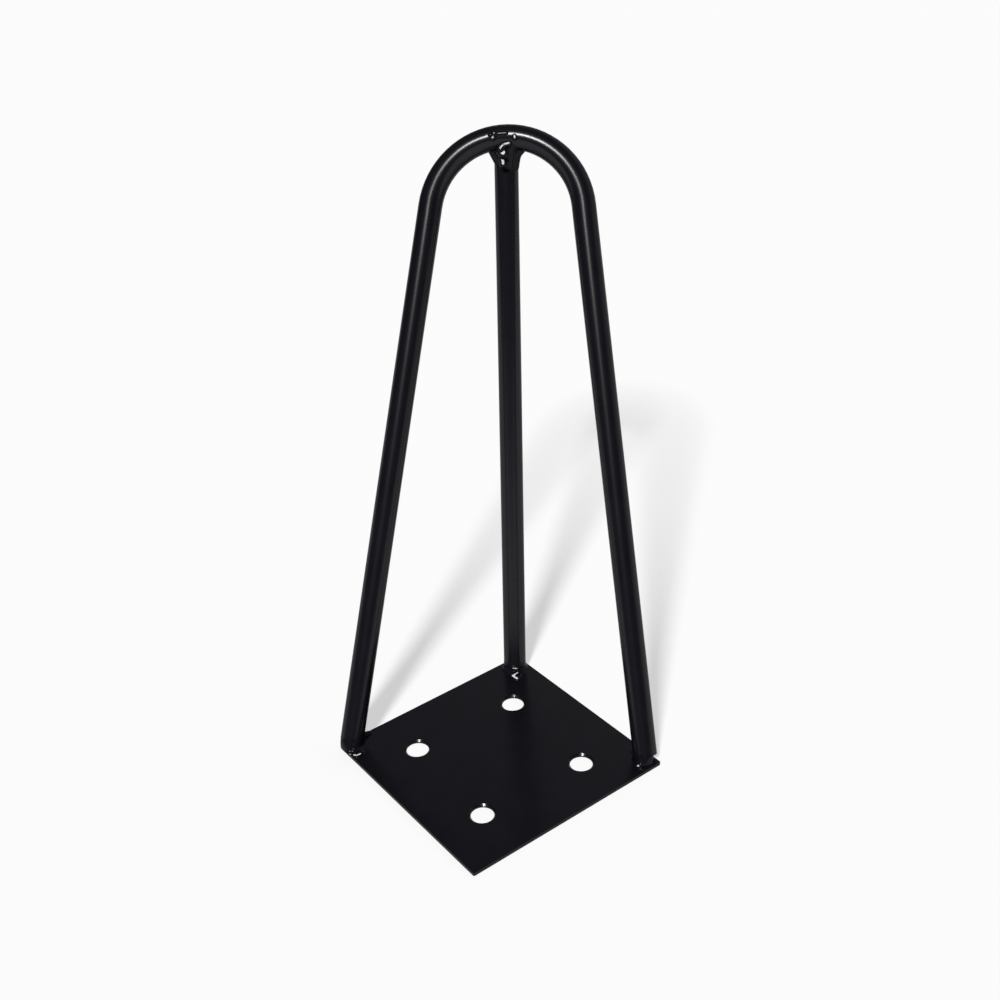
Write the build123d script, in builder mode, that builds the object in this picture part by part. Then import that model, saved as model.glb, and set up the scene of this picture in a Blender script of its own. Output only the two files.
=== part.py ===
from build123d import *
import os
from math import acos, asin, atan2, cos, degrees, hypot, sin, sqrt, tan

# Hairpin table leg: a square plate, a bent rod, a straight rod and the welds that join them.
# The origin is the centre of the plate's mounting face. +Z points up to the bend, X runs along
# the line of the bent rod's two feet, and the frame leans towards +Y, over the straight rod's corner.

# Mounting plate, in millimetres and degrees
plate_side = 100.0
plate_thickness = 1.5
plate_corner_radius = 0.7
hole_count = 4
hole_diameter = 10.0
hole_spacing = 51.4  # side of the square on which the hole centres lie
hole_pattern_turn = -2.9  # the punched pattern sits a little askew on the plate
hole_pattern_shift = (0.4, -0.9)  # and a little off its centre
hole_rim_chamfer = 0.8  # countersunk rim on the side that carries the rods

# Rods
rod_diameter = 10.4  # bar with its coat of paint
leg_height = 244.0  # from the mounting face to the top of the bend
tip_reach = 119.0  # from the plate's centre to the bend's apex, along Y
bend_radius = 33.3  # of the bent rod's centreline
left_foot_inset = 5.0  # from the left corner of the plate to the bent rod's axis, along the diagonal
right_foot_inset = 6.4  # from the right corner
straight_foot_inset = 8.9  # from the third corner to the straight rod's axis
butt_offset = 4.4  # straight rod's axis, behind the bend's centreline
head_shift = 1.3  # straight rod's head, to the left of the bend's apex
root_gap = 0.3  # left between the plate and the low edge of each square-cut end
head_gap = 0.6  # left between the straight rod's head and the bend's underside

# Welds
weld_lap = 1.4  # how far a foot weld climbs past the raised edge of its rod's square-cut end
weld_lip = 0.25  # thickness of a weld where it runs out on a rod
hairpin_weld_leg = 2.3  # width of a bent rod's foot weld on the plate
straight_weld_leg = 1.7  # width of the straight rod's foot weld on the plate
straight_weld_front = 2.6  # how much wider it is in front
bead_fullness = 0.62  # width of a bead halfway up, as a share of its leg
right_weld_recess = 1.0  # how far the right foot's weld stays inside the plate's edge
apex_weld_drop = 8.5  # from the bend's underside down the straight rod
apex_weld_waist = 0.7  # how much wider than the rod the weld is halfway up that drop
apex_weld_flare = 3.3  # how much wider than the rod the weld is under the bend
apex_weld_face = 1.8  # how far the weld stands out in front of and behind the bend
apex_weld_rise = 3.0  # how far the weld climbs past the bend's centreline

# Places that follow from these sizes
rod_radius = rod_diameter / 2
half_diagonal = plate_side / sqrt(2)
left_spread = half_diagonal - left_foot_inset
right_spread = half_diagonal - right_foot_inset
apex = Vector(0, tip_reach, leg_height - rod_radius)

# The bent rod lies in a plane that holds the line of its feet and the bend's apex
slope_length = hypot(apex.Y, apex.Z - plate_thickness)
slope = Vector(0, apex.Y, apex.Z - plate_thickness).normalized()
hairpin_plane = Plane(
    origin=(0, 0, plate_thickness), x_dir=(1, 0, 0), z_dir=Vector(1, 0, 0).cross(slope)
)
bend_centre_height = slope_length - bend_radius


def leg_splay(spread):
    """Angle of a leg that runs from its foot, spread from the plate's middle, to a tangent of the bend."""
    return atan2(spread, bend_centre_height) - asin(bend_radius / hypot(spread, bend_centre_height))


def leg_start(splay):
    """Height, up the bent rod's plane, of a square-cut end that stands on the plate with its lowest edge."""
    tilt = acos(cos(splay) * slope.Z)
    return (rod_radius * sin(tilt) + root_gap) / slope.Z


def leg_length(spread, splay):
    """Length of a leg from its square-cut end to the bend."""
    return sqrt(spread**2 + bend_centre_height**2 - bend_radius**2) - leg_start(splay) / cos(splay)


left_splay = leg_splay(left_spread)
right_splay = leg_splay(right_spread)
left_axis = Vector(sin(left_splay), cos(left_splay) * slope.Y, cos(left_splay) * slope.Z)
right_axis = Vector(-sin(right_splay), cos(right_splay) * slope.Y, cos(right_splay) * slope.Z)

# The straight rod runs from its corner to a point behind the bend's apex
straight_foot = Vector(0, half_diagonal - straight_foot_inset, plate_thickness)
straight_axis = (apex + Vector(-head_shift, butt_offset, 0) - straight_foot).normalized()
straight_front = Vector(1, 0, 0).cross(straight_axis).normalized()
straight_tilt = acos(straight_axis.Z)
straight_start = (rod_radius * sin(straight_tilt) + root_gap) / cos(straight_tilt)
head_along = (apex - straight_foot).dot(straight_axis)
straight_end = head_along - rod_radius - head_gap


def plate_outline_prism(height, inset=0.0, direction=Vector(0, 0, 1)):
    """A prism over the plate's outline, brought in by inset, that rises along direction."""
    with BuildPart() as prism:
        with BuildSketch(Plane.XY.offset(plate_thickness)):
            width = plate_side - 2 * inset
            RectangleRounded(width, width, plate_corner_radius, rotation=45)
        extrude(amount=height / direction.Z, dir=direction)
    return prism.part


# Mounting plate
with BuildPart() as mounting_plate:
    with BuildSketch():
        RectangleRounded(plate_side, plate_side, plate_corner_radius, rotation=45)
    extrude(amount=plate_thickness)
    with BuildSketch():
        with Locations(hole_pattern_shift):
            with PolarLocations(hole_spacing / sqrt(2), hole_count, start_angle=hole_pattern_turn):
                Circle(hole_diameter / 2)
    extrude(amount=plate_thickness, mode=Mode.SUBTRACT)
    top_face = mounting_plate.faces().sort_by(Axis.Z)[-1]
    chamfer(top_face.inner_wires().edges(), hole_rim_chamfer)
mounting_plate.part.label = "mounting_plate"

# Bent rod: two straight legs and a tangent bend between them, with square-cut ends
with BuildPart() as hairpin_rod:
    with BuildLine(hairpin_plane) as hairpin_route:
        left_leg = PolarLine(
            (-left_spread + leg_start(left_splay) * tan(left_splay), leg_start(left_splay)),
            leg_length(left_spread, left_splay),
            angle=90 - degrees(left_splay),
        )
        bend = JernArc(
            left_leg @ 1, left_leg % 1, bend_radius, -(180 - degrees(left_splay + right_splay))
        )
        right_leg = PolarLine(bend @ 1, leg_length(right_spread, right_splay), direction=bend % 1)
    with BuildSketch(Plane(origin=hairpin_route.wire() @ 0, z_dir=hairpin_route.wire() % 0)):
        Circle(rod_radius)
    sweep()
hairpin_rod.part.label = "hairpin_rod"

# Straight rod: square-cut at both ends, its top just under the bend
with BuildPart() as straight_rod:
    with BuildSketch(
        Plane(origin=straight_foot + straight_axis * straight_start, z_dir=straight_axis)
    ):
        Circle(rod_radius)
    extrude(amount=straight_end - straight_start)
straight_rod.part.label = "straight_rod"


def foot_bead(foot, axis, leg, front=0.0):
    """A bead round a rod that meets the plate's top face at foot: wide on the plate, thin on the rod.
    It reaches further by front on the side that the rod leans away from."""
    tilt = acos(axis.Z)
    lean = Vector(axis.X, axis.Y, 0).normalized()
    lean_direction = degrees(atan2(lean.Y, lean.X))
    rise = 2 * rod_radius * sin(tilt) + root_gap + weld_lap
    with BuildPart() as bead:
        for share_up, share_wide in ((0, 1), (0.5, bead_fullness), (1, 0)):
            width = weld_lip + (leg - weld_lip) * share_wide
            reach = front * share_wide / 2
            centre = foot + axis * (share_up * rise / axis.Z) - lean * reach
            with BuildSketch(Plane(origin=centre)):
                Ellipse(
                    rod_radius / cos(tilt) + width + reach, rod_radius + width, rotation=lean_direction
                )
        loft()
    return bead.part, rise


# Welds at the bent rod's feet: they fill the wedge under each square-cut end
left_bead, left_weld_rise = foot_bead(
    Vector(-left_spread, 0, plate_thickness), left_axis, hairpin_weld_leg
)
with BuildPart() as weld_left_foot:
    add(left_bead)
    add(plate_outline_prism(left_weld_rise), mode=Mode.INTERSECT)
    add(hairpin_rod.part, mode=Mode.SUBTRACT)
weld_left_foot.part.label = "weld_left_foot"

# The right foot's weld stays back from the corner, so the outer half of its rod's end is bare
right_bead, right_weld_rise = foot_bead(
    Vector(right_spread, 0, plate_thickness), right_axis, hairpin_weld_leg
)
with BuildPart() as weld_right_foot:
    add(right_bead)
    add(
        plate_outline_prism(right_weld_rise, right_weld_recess, right_axis), mode=Mode.INTERSECT
    )
    add(hairpin_rod.part, mode=Mode.SUBTRACT)
weld_right_foot.part.label = "weld_right_foot"

# Weld at the straight rod's foot
back_bead, straight_weld_rise = foot_bead(
    straight_foot, straight_axis, straight_weld_leg, straight_weld_front
)
with BuildPart() as weld_back_foot:
    add(back_bead)
    add(plate_outline_prism(straight_weld_rise), mode=Mode.INTERSECT)
    add(straight_rod.part, mode=Mode.SUBTRACT)
weld_back_foot.part.label = "weld_back_foot"

# Weld at the apex: runs up the straight rod, spreads under the bend and closes on its front and back
straight_head = straight_foot + straight_axis * head_along
apex_weld_sections = (
    (-rod_radius - apex_weld_drop, 0, rod_radius + weld_lip),
    (-rod_radius - apex_weld_drop / 2, 0, rod_radius + apex_weld_waist),
    (-rod_radius, butt_offset / 2, rod_radius + apex_weld_flare),
    (0, butt_offset, rod_radius + apex_weld_face),
    (apex_weld_rise, butt_offset, sqrt(rod_radius**2 - apex_weld_rise**2) + weld_lip),
)
with BuildPart() as weld_apex:
    for along, forward, radius in apex_weld_sections:
        centre = straight_head + straight_axis * along + straight_front * forward
        with BuildSketch(Plane(origin=centre, z_dir=straight_axis)):
            Circle(radius)
    loft()
    add(hairpin_rod.part, mode=Mode.SUBTRACT)
    add(straight_rod.part, mode=Mode.SUBTRACT)
weld_apex.part.label = "weld_apex"

os.makedirs("parts", exist_ok=True)
export_step(mounting_plate.part, "parts/mounting_plate.step")
export_step(hairpin_rod.part, "parts/hairpin_rod.step")
export_step(straight_rod.part, "parts/straight_rod.step")
export_step(weld_left_foot.part, "parts/weld_left_foot.step")
export_step(weld_right_foot.part, "parts/weld_right_foot.step")
export_step(weld_back_foot.part, "parts/weld_back_foot.step")
export_step(weld_apex.part, "parts/weld_apex.step")
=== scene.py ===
import math

import bmesh
import bpy
from mathutils import Matrix, Vector, noise as wave


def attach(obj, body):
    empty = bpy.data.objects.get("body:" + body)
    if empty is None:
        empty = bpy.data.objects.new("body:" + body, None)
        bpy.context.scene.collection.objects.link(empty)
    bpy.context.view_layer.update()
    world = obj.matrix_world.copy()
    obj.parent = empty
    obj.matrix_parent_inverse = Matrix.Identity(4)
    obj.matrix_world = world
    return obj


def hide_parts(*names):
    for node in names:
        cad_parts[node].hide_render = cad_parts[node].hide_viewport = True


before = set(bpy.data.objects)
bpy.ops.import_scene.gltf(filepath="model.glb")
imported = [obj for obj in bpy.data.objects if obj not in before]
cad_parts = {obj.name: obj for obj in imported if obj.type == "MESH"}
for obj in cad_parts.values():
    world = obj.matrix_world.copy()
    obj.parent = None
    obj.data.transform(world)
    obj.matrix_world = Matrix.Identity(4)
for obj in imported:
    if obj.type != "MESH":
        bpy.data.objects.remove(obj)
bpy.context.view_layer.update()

# Hairpin table leg, dressed for a studio picture. Lengths are in millimetres unless a comment says
# otherwise, and become metres where an object is made.
MM = 0.001

# Camera of the photograph, in the frame of the CAD model
image_side = 1000  # pixels
focal_length = 1312.24  # pixels
sensor_width = 36.0
camera_place = Vector((77.34, -435.58, 382.48))
camera_azimuth = math.radians(9.144)
camera_elevation = math.radians(29.825)
camera_roll = math.radians(-3.183)
clip_near = 0.01  # metres
clip_far = 100.0  # metres

# Studio
key_azimuth = math.radians(-10.0)
key_elevation = math.radians(45.5)
key_width = math.radians(9.0)  # angle that the lamp covers, seen from the object
key_level = 3.4  # irradiance, in watts per square metre
room_dark = 0.03  # brightness of the room on the camera's side and overhead
room_light = 0.52  # brightness low down, behind the object and to its right
room_direction = (0.5, 0.8, -0.6)  # from the dark side to the light one
room_dark_end = -0.085  # where, along that direction, the dark ends
room_light_start = 0.355  # and where the full light starts
floor_side = 60000.0
floor_colour = (0.45, 0.45, 0.45, 1.0)
floor_lift = 0.57  # brings the pale floor up to the picture's white

# Sizes of the CAD model
plate_side = 100.0
plate_thickness = 1.5
rod_radius = 5.2
leg_height = 244.0
tip_reach = 119.0
bend_radius = 33.3
left_foot_inset = 5.0
right_foot_inset = 6.4
straight_foot_inset = 8.9
butt_offset = 4.4
head_shift = 1.3

# Paint
paint_dark = (0.0046, 0.0044, 0.0070)
paint_light = (0.0060, 0.0057, 0.0088)
tint_scale = 85  # this scale and the next three are in waves per metre
gloss_scale = 190
flow_scale = 110
peel_scale = 620
flow_depth = 4  # depth of the paint's slow waves, in depths of its orange peel
bump_strength = 0.5
base_gloss = 0.02  # nearly all the gloss is in the coat
coat_index = 3.0  # with a thin coat weight, the gloss grows little towards the edges

# Melting of the welds
body_voxel = 0.28
pad_voxel = 0.2
foot_passes = 30
apex_passes = 10
pad_passes = 9
pass_strength = 0.5
ripple_height = 0.06
ripple_length = 2.6

# Shapes that the welds are melted from
tube_sides = 32
lump_subdivisions = 3
run_pitch = 0.5
pad_pitch = 0.4
pad_sides = 16
pad_levels = ((2.0, 1.35), (0.4, 1.2), (0.0, 0.75))  # depth under the top, share of the radius
core_swell = 0.12  # how far a foot weld stands out of its rod at the foot
core_sink = 0.3  # how far a weld has sunk into its rod where it ends
core_heights = (-1.0, 3.0, 9.0)  # up the rod from its foot
seam_steps = 72
seam_height = 0.2
seam_waves = 2
seam_unevenness = 0.35
skirt_radius = 13.0
skirt_sides = 64
skirt_depths = (1.2, 0.12)  # of its underside and its top, below the plate's top face
skirt_bottom = 0.3
skirt_inset = 0.6  # from the plate's sides
skirt_margin = 0.1  # what lies deeper than this below the plate's top face is skirt
edge_room = 0.8  # stretch over which a weld is rounded off at its limits
bend_steps = 6  # on each side of the apex
bend_step_turn = 0.075  # radians
sleeve_swell = 0.3
sleeve_end_radius = 3.5

# Places that follow from the sizes of the CAD model
across = Vector((1, 0, 0))
half_diagonal = plate_side / math.sqrt(2)
left_spread = half_diagonal - left_foot_inset
right_spread = half_diagonal - right_foot_inset
apex = Vector((0, tip_reach, leg_height - rod_radius))
slope_length = math.hypot(apex.y, apex.z - plate_thickness)
slope = Vector((0, apex.y, apex.z - plate_thickness)).normalized()
front = across.cross(slope)
bend_centre_height = slope_length - bend_radius


def leg_axis(foot_spread, side):
    """Direction of a leg of the bent rod, up from its foot; side is 1 on the left, -1 on the right."""
    to_centre = math.atan2(foot_spread, bend_centre_height)
    splay = to_centre - math.asin(bend_radius / math.hypot(foot_spread, bend_centre_height))
    return side * math.sin(splay) * across + math.cos(splay) * slope


def direction_to(azimuth, elevation):
    """Direction away from the object; azimuth is counted from the -Y axis towards +X."""
    flat = math.cos(elevation)
    return Vector((math.sin(azimuth) * flat, -math.cos(azimuth) * flat, math.sin(elevation)))


left_foot = Vector((-left_spread, 0, plate_thickness))
right_foot = Vector((right_spread, 0, plate_thickness))
back_foot = Vector((0, half_diagonal - straight_foot_inset, plate_thickness))
left_axis = leg_axis(left_spread, 1)
right_axis = leg_axis(right_spread, -1)
straight_head = apex + Vector((-head_shift, butt_offset, 0))
straight_axis = (straight_head - back_foot).normalized()
to_key = direction_to(key_azimuth, key_elevation)


# Materials

def new_material(name):
    """A node material with its nodes cleared, its node tree and its output node."""
    material = bpy.data.materials.new(name)
    material.use_nodes = True
    tree = material.node_tree
    tree.nodes.clear()
    output = tree.nodes.new("ShaderNodeOutputMaterial")
    return material, tree, output


def noise(tree, coordinates, scale, detail, roughness=0.5):
    """A noise texture at the given coordinates; scale is in waves per metre."""
    node = tree.nodes.new("ShaderNodeTexNoise")
    node.inputs["Scale"].default_value = scale
    node.inputs["Detail"].default_value = detail
    node.inputs["Roughness"].default_value = roughness
    tree.links.new(coordinates, node.inputs["Vector"])
    return node.outputs["Fac"]


def map_range(tree, value, low, high, from_low=0.3, from_high=0.7):
    """Maps a value to a range; the usual limits are those between which most noise lies."""
    node = tree.nodes.new("ShaderNodeMapRange")
    node.inputs["From Min"].default_value = from_low
    node.inputs["From Max"].default_value = from_high
    node.inputs["To Min"].default_value = low
    node.inputs["To Max"].default_value = high
    tree.links.new(value, node.inputs["Value"])
    return node.outputs["Result"]


def two_tints(tree, value, dark, light):
    """A colour between two tints."""
    node = tree.nodes.new("ShaderNodeMix")
    node.data_type = "RGBA"
    node.inputs["A"].default_value = (*dark, 1.0)
    node.inputs["B"].default_value = (*light, 1.0)
    tree.links.new(value, node.inputs["Factor"])
    return node.outputs["Result"]


def bump(tree, height, depth, base=None):
    """A bump of the given depth, laid over another bump if there is one."""
    node = tree.nodes.new("ShaderNodeBump")
    node.inputs["Strength"].default_value = bump_strength
    node.inputs["Distance"].default_value = depth * MM
    tree.links.new(height, node.inputs["Height"])
    if base is not None:
        tree.links.new(base, node.inputs["Normal"])
    return node.outputs["Normal"]


def black_paint(name, smoothest, roughest, coat, coat_roughness, peel_depth):
    """Black enamel over steel: near-black with a cool cast, orange peel and uneven gloss."""
    material, tree, output = new_material(name)
    place = tree.nodes.new("ShaderNodeTexCoord").outputs["Object"]
    shader = tree.nodes.new("ShaderNodeBsdfPrincipled")
    shader.inputs["Specular IOR Level"].default_value = base_gloss
    shader.inputs["Coat Weight"].default_value = coat
    shader.inputs["Coat Roughness"].default_value = coat_roughness
    shader.inputs["Coat IOR"].default_value = coat_index
    shade = map_range(tree, noise(tree, place, tint_scale, detail=3), 0, 1)
    tint = two_tints(tree, shade, paint_dark, paint_light)
    uneven = noise(tree, place, gloss_scale, detail=3, roughness=0.6)
    gloss = map_range(tree, uneven, smoothest, roughest)
    peel = noise(tree, place, peel_scale, detail=1.5)
    flow = noise(tree, place, flow_scale, detail=1)
    normal = bump(tree, flow, flow_depth * peel_depth)
    normal = bump(tree, peel, peel_depth, normal)
    tree.links.new(tint, shader.inputs["Base Color"])
    tree.links.new(gloss, shader.inputs["Roughness"])
    tree.links.new(normal, shader.inputs["Normal"])
    tree.links.new(normal, shader.inputs["Coat Normal"])
    tree.links.new(shader.outputs["BSDF"], output.inputs["Surface"])
    return material


def studio_floor_material():
    """A pale matt floor that the camera and mirrors see as white, with the object's shadow on it."""
    material, tree, output = new_material("studio_floor")
    matt = tree.nodes.new("ShaderNodeBsdfDiffuse")
    matt.inputs["Color"].default_value = floor_colour
    rays = tree.nodes.new("ShaderNodeLightPath")
    seen = rays.outputs["Is Camera Ray"]
    for other in ("Is Glossy Ray", "Is Transmission Ray"):
        either = tree.nodes.new("ShaderNodeMath")
        either.operation = "MAXIMUM"
        tree.links.new(seen, either.inputs[0])
        tree.links.new(rays.outputs[other], either.inputs[1])
        seen = either.outputs[0]
    lift = tree.nodes.new("ShaderNodeMath")
    lift.operation = "MULTIPLY"
    lift.inputs[1].default_value = floor_lift
    tree.links.new(seen, lift.inputs[0])
    glow = tree.nodes.new("ShaderNodeEmission")
    tree.links.new(lift.outputs[0], glow.inputs["Strength"])
    both = tree.nodes.new("ShaderNodeAddShader")
    tree.links.new(matt.outputs[0], both.inputs[0])
    tree.links.new(glow.outputs[0], both.inputs[1])
    tree.links.new(both.outputs[0], output.inputs["Surface"])
    return material


# Dressing of the CAD nodes

rod_paint = black_paint(
    "rod_paint", smoothest=0.18, roughest=0.30, coat=0.086, coat_roughness=0.24, peel_depth=0.0025
)
plate_paint = black_paint(
    "plate_paint", smoothest=0.22, roughest=0.34, coat=0.071, coat_roughness=0.20, peel_depth=0.003
)
weld_paint = black_paint(
    "weld_paint", smoothest=0.18, roughest=0.30, coat=0.042, coat_roughness=0.23, peel_depth=0.005
)


def dress(node_name, material):
    """Gives a CAD node its paint."""
    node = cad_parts[node_name]
    for slot in node.material_slots:
        slot.material = material


dress("mounting_plate", plate_paint)
dress("hairpin_rod", rod_paint)
dress("straight_rod", rod_paint)


# Welds: lumps of metal melted into each other and into the rods, under the same paint

def add_tube(shape, points, radii, sides=tube_sides):
    """A closed tube through the points, with a radius at each."""
    rings = []
    for index, (point, radius) in enumerate(zip(points, radii)):
        before = points[max(index - 1, 0)]
        after = points[min(index + 1, len(points) - 1)]
        turn = (after - before).to_track_quat("Z", "Y")
        ring = []
        for step in range(sides):
            angle = math.tau * step / sides
            offset = turn @ Vector((math.cos(angle), math.sin(angle), 0)) * radius
            ring.append(shape.verts.new(point + offset))
        rings.append(ring)
    for low, high in zip(rings, rings[1:]):
        for step in range(sides):
            following = (step + 1) % sides
            shape.faces.new((low[step], low[following], high[following], high[step]))
    shape.faces.new(list(reversed(rings[0])))
    shape.faces.new(rings[-1])


def add_lump(shape, centre, radius):
    """A round lump."""
    placed = Matrix.Translation(centre) @ Matrix.Scale(radius, 4)
    bmesh.ops.create_icosphere(shape, subdivisions=lump_subdivisions, radius=1, matrix=placed)


def points_along(points, pitch):
    """Even steps along a line of points."""
    for start, end in zip(points, points[1:]):
        count = max(1, round((end - start).length / pitch))
        for step in range(count + 1):
            yield start.lerp(end, step / count)


def add_run(shape, points, radius):
    """A bead of lumps along a line of points."""
    for place in points_along(points, run_pitch):
        add_lump(shape, place, radius)


def add_pads(shape, points, radius):
    """A low ridge along a line of points, with a flat top that mirrors the key lamp to the camera.

    The points after the first are moved along their sight lines until the top is level.
    """
    facing = (to_key + (camera_place - points[0]).normalized()).normalized()
    level_points = []
    for point in points:
        sight = (camera_place - point).normalized()
        move = (points[0] - point).dot(facing) / sight.dot(facing)
        level_points.append(point + sight * move)
    radii = [radius * share for depth, share in pad_levels]
    for place in points_along(level_points, pad_pitch):
        levels = [place - facing * depth for depth, share in pad_levels]
        add_tube(shape, levels, radii, pad_sides)


def melt(name, shape, voxel, passes):
    """Melts overlapping closed shapes into one skin; more passes make it smoother."""
    loose = bpy.data.meshes.new(name + "_loose")
    shape.to_mesh(loose)
    shape.free()
    holder = bpy.data.objects.new(name + "_loose", loose)
    bpy.context.scene.collection.objects.link(holder)
    skin = holder.modifiers.new("skin", "REMESH")
    skin.mode = "VOXEL"
    skin.voxel_size = voxel
    flow = holder.modifiers.new("flow", "SMOOTH")
    flow.factor = pass_strength
    flow.iterations = passes
    melted = holder.evaluated_get(bpy.context.evaluated_depsgraph_get())
    mesh = bpy.data.meshes.new_from_object(melted)
    mesh.name = name
    bpy.data.objects.remove(holder)
    bpy.data.meshes.remove(loose)
    return mesh


def add_detail(body, pads):
    """Melts flat-topped ridges into a weld's smooth body, and gives the skin a slight ripple."""
    shape = bmesh.new()
    shape.from_mesh(body)
    name = body.name
    bpy.data.meshes.remove(body)
    for radius, *places in pads:
        add_pads(shape, places, radius)
    mesh = melt(name, shape, pad_voxel, pad_passes)
    moves = []
    for vertex in mesh.vertices:
        moves.append(vertex.normal * ripple_height * wave.noise(vertex.co / ripple_length))
    for vertex, move in zip(mesh.vertices, moves):
        vertex.co += move
    return mesh


def soft_limit(value, limit, room):
    """Keeps a value between -limit and limit, rounding it off over the last stretch before them."""
    size = abs(value)
    excess = size - (limit - room)
    if excess > 0:
        size = limit - room + room * (1 - math.exp(-excess / room))
    return math.copysign(size, value)


def keep_on_plate(mesh, overhang, outer_limit):
    """Holds a foot weld over the plate and hides its skirt inside the plate.

    It may hang over the plate's sides by overhang, and keeps within outer_limit along X.
    """
    side_limit = plate_side / 2 + overhang
    hidden = plate_side / 2 - skirt_inset
    for vertex in mesh.vertices:
        place = vertex.co
        place.x = soft_limit(place.x, outer_limit, edge_room)
        # Coordinates along the plate's two sides
        one = (place.x + place.y) / math.sqrt(2)
        other = (place.x - place.y) / math.sqrt(2)
        if place.z > plate_thickness - skirt_margin:
            one = soft_limit(one, side_limit, edge_room)
            other = soft_limit(other, side_limit, edge_room)
        else:
            one = min(max(one, -hidden), hidden)
            other = min(max(other, -hidden), hidden)
        place.x = (one + other) / math.sqrt(2)
        place.y = (one - other) / math.sqrt(2)
        place.z = max(place.z, skirt_bottom)


def show_weld(mesh, node_name):
    """Shows a weld in place of its CAD node."""
    mesh.transform(Matrix.Scale(MM, 4))
    for polygon in mesh.polygons:
        polygon.use_smooth = True
    mesh.materials.clear()
    mesh.materials.append(weld_paint)
    piece = bpy.data.objects.new(node_name + "_bead", mesh)
    bpy.context.scene.collection.objects.link(piece)
    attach(piece, "root")
    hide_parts(node_name)


def add_seam(shape, foot, axis, radius, seed):
    """An uneven bead round the line where a rod meets the plate."""
    lean = math.atan2(axis.y, axis.x)
    long_radius = rod_radius / axis.z
    for step in range(seam_steps):
        angle = math.tau * step / seam_steps
        along = math.cos(angle) * long_radius
        beside = math.sin(angle) * rod_radius
        uneven = wave.noise(
            Vector((seam_waves * math.cos(angle), seam_waves * math.sin(angle), seed))
        )
        place = foot + Vector(
            (
                math.cos(lean) * along - math.sin(lean) * beside,
                math.sin(lean) * along + math.cos(lean) * beside,
                seam_height,
            )
        )
        add_lump(shape, place, radius * (1 + seam_unevenness * uneven))


def foot_weld(node_name, foot, axis, seam_radius, seed, runs, pads, overhang, outer_limit):
    """A weld round the foot of a rod; runs and pads are a radius and places counted from the foot."""
    shape = bmesh.new()
    core = [foot + axis * height for height in core_heights]
    swollen = rod_radius + core_swell
    add_tube(shape, core, [swollen, swollen, rod_radius - core_sink])
    # A skirt just under the plate's face, into which the weld runs out
    skirt = [foot - Vector((0, 0, depth)) for depth in skirt_depths]
    add_tube(shape, skirt, [skirt_radius] * len(skirt), skirt_sides)
    add_seam(shape, foot, axis, seam_radius, seed)
    for radius, *places in runs:
        add_run(shape, [foot + Vector(place) for place in places], radius)
    body = melt(node_name + "_bead", shape, body_voxel, foot_passes)
    keep_on_plate(body, overhang, outer_limit)
    placed_pads = [
        (radius, *(foot + Vector(place) for place in places)) for radius, *places in pads
    ]
    mesh = add_detail(body, placed_pads)
    show_weld(mesh, node_name)


# The left weld has a crescent in front, with a spot above it
foot_weld(
    "weld_left_foot",
    left_foot,
    left_axis,
    seam_radius=1.0,
    seed=3.7,
    runs=(
        (2.2, (2.6, -4.6, -0.8), (5.0, -4.2, -0.8)),
        (1.6, (4.0, 7.0, 0.4), (6.2, 9.4, -0.6)),
    ),
    pads=(
        (0.8, (2.9, -7.0, 1.2), (4.4, -7.2, 1.2), (5.7, -6.0, 1.2)),
        (0.5, (2.9, -5.6, 2.8), (3.0, -5.6, 2.8)),
    ),
    overhang=0.9,
    outer_limit=half_diagonal - 0.3,
)

# The right weld stays back from the plate's corner and has one spot
foot_weld(
    "weld_right_foot",
    right_foot,
    right_axis,
    seam_radius=0.6,
    seed=8.2,
    runs=(
        (1.6, (-3.0, -3.2, 0.2), (-2.8, -3.2, 0.2)),
        (1.6, (-4.4, 6.2, -0.4), (-5.4, 5.6, -0.6)),
    ),
    pads=((1.0, (-3.1, -5.0, 1.6), (-2.9, -5.0, 1.6)),),
    overhang=-0.6,
    outer_limit=right_spread + 3.4,
)

# The back weld has a short bar across the rod and a hook below it
foot_weld(
    "weld_back_foot",
    back_foot,
    straight_axis,
    seam_radius=0.9,
    seed=5.4,
    runs=((2.0, (0.2, -5.4, -0.2), (2.0, -6.4, -0.6)),),
    pads=(
        (0.7, (-0.3, -5.6, 3.7), (2.0, -5.6, 3.7)),
        (0.8, (0.0, -8.5, 1.7), (2.2, -6.7, 2.1)),
        (1.0, (0.0, -8.5, 1.7), (1.3, -9.3, 1.2), (2.3, -9.3, 0.8)),
    ),
    overhang=0.2,
    outer_limit=half_diagonal,
)


def apex_place(along, up, out):
    """A place by the bend's apex: along the feet's line, up the bend's plane, out to the front."""
    return apex + along * across + up * slope + out * front


def add_apex_run(shape, radius, *places):
    """A bead of lumps by the bend's apex."""
    add_run(shape, [apex_place(*place) for place in places], radius)


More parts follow.
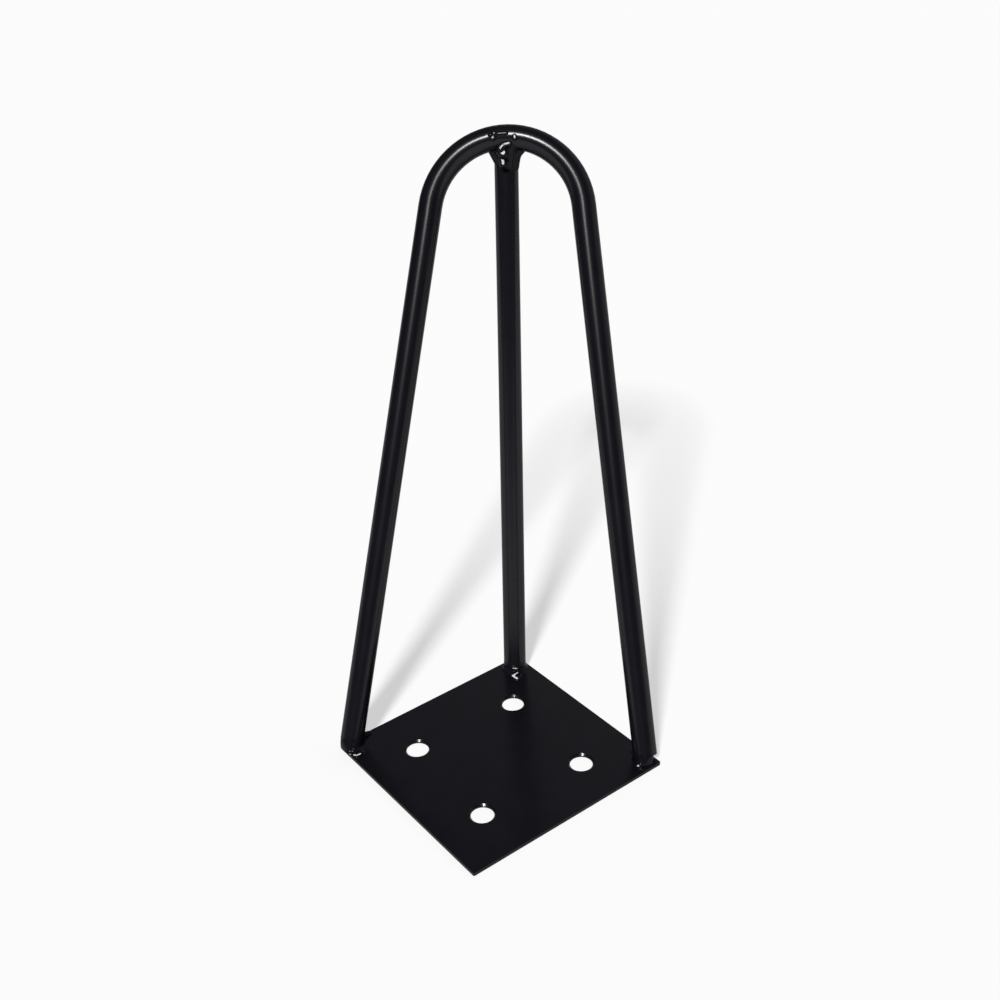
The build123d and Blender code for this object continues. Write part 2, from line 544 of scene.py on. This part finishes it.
def apex_weld():
    """The weld that joins the straight rod to the bend."""
    shape = bmesh.new()
    sunk = rod_radius - core_sink
    bend_points = []
    for step in range(-bend_steps, bend_steps + 1):
        turn = bend_step_turn * step
        bend_points.append(
            apex_place(bend_radius * math.sin(turn), bend_radius * (math.cos(turn) - 1), 0)
        )
    add_tube(shape, bend_points, [sunk] * len(bend_points))
    # Sleeve over the rod's head, which rises out of the rod and closes behind the bend
    rod_points = [straight_head - straight_axis * drop for drop in (17, 12, 7, 2, 0)]
    sleeve = [sunk, sunk, rod_radius + sleeve_swell, sunk, sleeve_end_radius]
    add_tube(shape, rod_points, sleeve)
    # Fillets to the left and right under the bend
    add_apex_run(shape, 2.1, (-6.5, -5.3, -2.0), (-3.8, -10.4, -4.4), (-3.2, -11.8, -5.2))
    add_apex_run(
        shape,
        2.1,
        (5.6, -4.8, -2.0),
        (4.2, -6.2, -2.5),
        (3.4, -7.6, -3.0),
        (2.9, -9.6, -4.0),
        (2.5, -11.8, -5.0),
    )
    # Slope in front, from the bend down to the rod, half as wide there as at the bend
    middle = -1.0
    for along in (-3.0, -1.6, -0.2, 1.2, 2.4):
        foot_along = middle + (along - middle) / 2
        add_apex_run(shape, 2.0, (along, -2.5, 2.2), (foot_along, -11.8, -3.5))
    # Patch spread over the front of the bend, sloping too
    for along in (-7.0, -6.2, -5.4, -4.6, -3.8, -3.0, -2.2, -1.4, -0.6, 0.2):
        drop = bend_radius - math.sqrt(bend_radius**2 - along**2)
        add_apex_run(shape, 1.3, (along, 0.4 - drop, 4.3), (along, -2.6 - drop, 3.0))
    # Lumps and a fillet behind, where the rod's head meets the back of the bend
    for radius, place in (
        (2.2, (-4.2, -3.0, -5.2)),
        (2.4, (0.4, -2.2, -6.0)),
        (2.0, (3.4, -3.2, -5.4)),
    ):
        add_lump(shape, apex_place(*place), radius)
    for up, out, radius in ((3.2, -4.4, 1.3), (2.0, -5.4, 1.6), (0.8, -6.4, 1.9)):
        add_apex_run(shape, radius, (-4.6, up, out), (2.0, up, out))
    body = melt("weld_apex_bead", shape, body_voxel, apex_passes)
    pads = (
        # Ridge that curls over the slope, a blob below it, and a drip down the rod
        (1.0, (1.4, -3.5, 4.8), (-1.1, -4.1, 4.8), (-2.3, -5.3, 4.8), (-2.4, -5.7, 4.8)),
        (1.6, (-2.4, -6.3, 4.4), (-1.3, -7.4, 4.4)),
        (1.2, (-2.0, -9.2, 2.7), (-1.6, -10.2, 2.7), (-1.4, -11.7, 2.7)),
        # Spatter on the front of the bend
        (1.0, (-5.6, -1.4, 5.8), (-5.4, -1.4, 5.8)),
        (0.7, (-5.2, 0.4, 6.0), (-4.8, 0.4, 6.0)),
        (1.0, (3.6, -0.7, 5.5), (3.8, -1.5, 5.5)),
    )
    placed_pads = [(radius, *(apex_place(*place) for place in places)) for radius, *places in pads]
    mesh = add_detail(body, placed_pads)
    show_weld(mesh, "weld_apex")


apex_weld()


# Stage: floor, room, key lamp and camera

def make_floor():
    """A square floor, so large that its edges lie far away."""
    half = floor_side * MM / 2
    mesh = bpy.data.meshes.new("studio_floor")
    corners = [(-half, -half, 0), (half, -half, 0), (half, half, 0), (-half, half, 0)]
    mesh.from_pydata(corners, [], [(0, 1, 2, 3)])
    mesh.materials.append(studio_floor_material())
    floor = bpy.data.objects.new("studio_floor", mesh)
    bpy.context.scene.collection.objects.link(floor)


def make_room():
    """A room that is dark on the camera's side and overhead, and lighter low down behind the object."""
    world = bpy.data.worlds.new("studio_room")
    bpy.context.scene.world = world
    world.use_nodes = True
    tree = world.node_tree
    background = tree.nodes["Background"]
    background.inputs["Color"].default_value = (1, 1, 1, 1)
    towards = tree.nodes.new("ShaderNodeVectorMath")
    towards.operation = "DOT_PRODUCT"
    towards.inputs[1].default_value = room_direction
    direction = tree.nodes.new("ShaderNodeTexCoord").outputs["Generated"]
    tree.links.new(direction, towards.inputs[0])
    level = map_range(
        tree, towards.outputs["Value"], room_dark, room_light, room_dark_end, room_light_start
    )
    tree.links.new(level, background.inputs["Strength"])


def make_key_lamp():
    """A far round lamp, so that the floor is lit evenly all over."""
    light = bpy.data.lights.new("key_lamp", "SUN")
    light.angle = key_width
    light.energy = key_level
    lamp = bpy.data.objects.new("key_lamp", light)
    lamp.rotation_euler = (-to_key).to_track_quat("-Z", "Y").to_euler()
    bpy.context.scene.collection.objects.link(lamp)


def make_camera():
    """The photograph's camera: its back axis from azimuth and elevation, then rolled about it."""
    back = direction_to(camera_azimuth, camera_elevation)
    level_right = Vector((math.cos(camera_azimuth), math.sin(camera_azimuth), 0))
    level_up = back.cross(level_right)
    right = math.cos(camera_roll) * level_right + math.sin(camera_roll) * level_up
    up = back.cross(right)
    data = bpy.data.cameras.new("photo_camera")
    data.sensor_width = sensor_width
    data.lens = sensor_width * focal_length / image_side
    data.clip_start = clip_near
    data.clip_end = clip_far
    camera = bpy.data.objects.new("photo_camera", data)
    turn = Matrix((right, up, back)).transposed().to_4x4()
    camera.matrix_world = Matrix.Translation(camera_place * MM) @ turn
    bpy.context.scene.collection.objects.link(camera)
    bpy.context.scene.camera = camera


make_floor()
make_room()
make_key_lamp()
make_camera()
bpy.context.scene.view_settings.view_transform = "Standard"
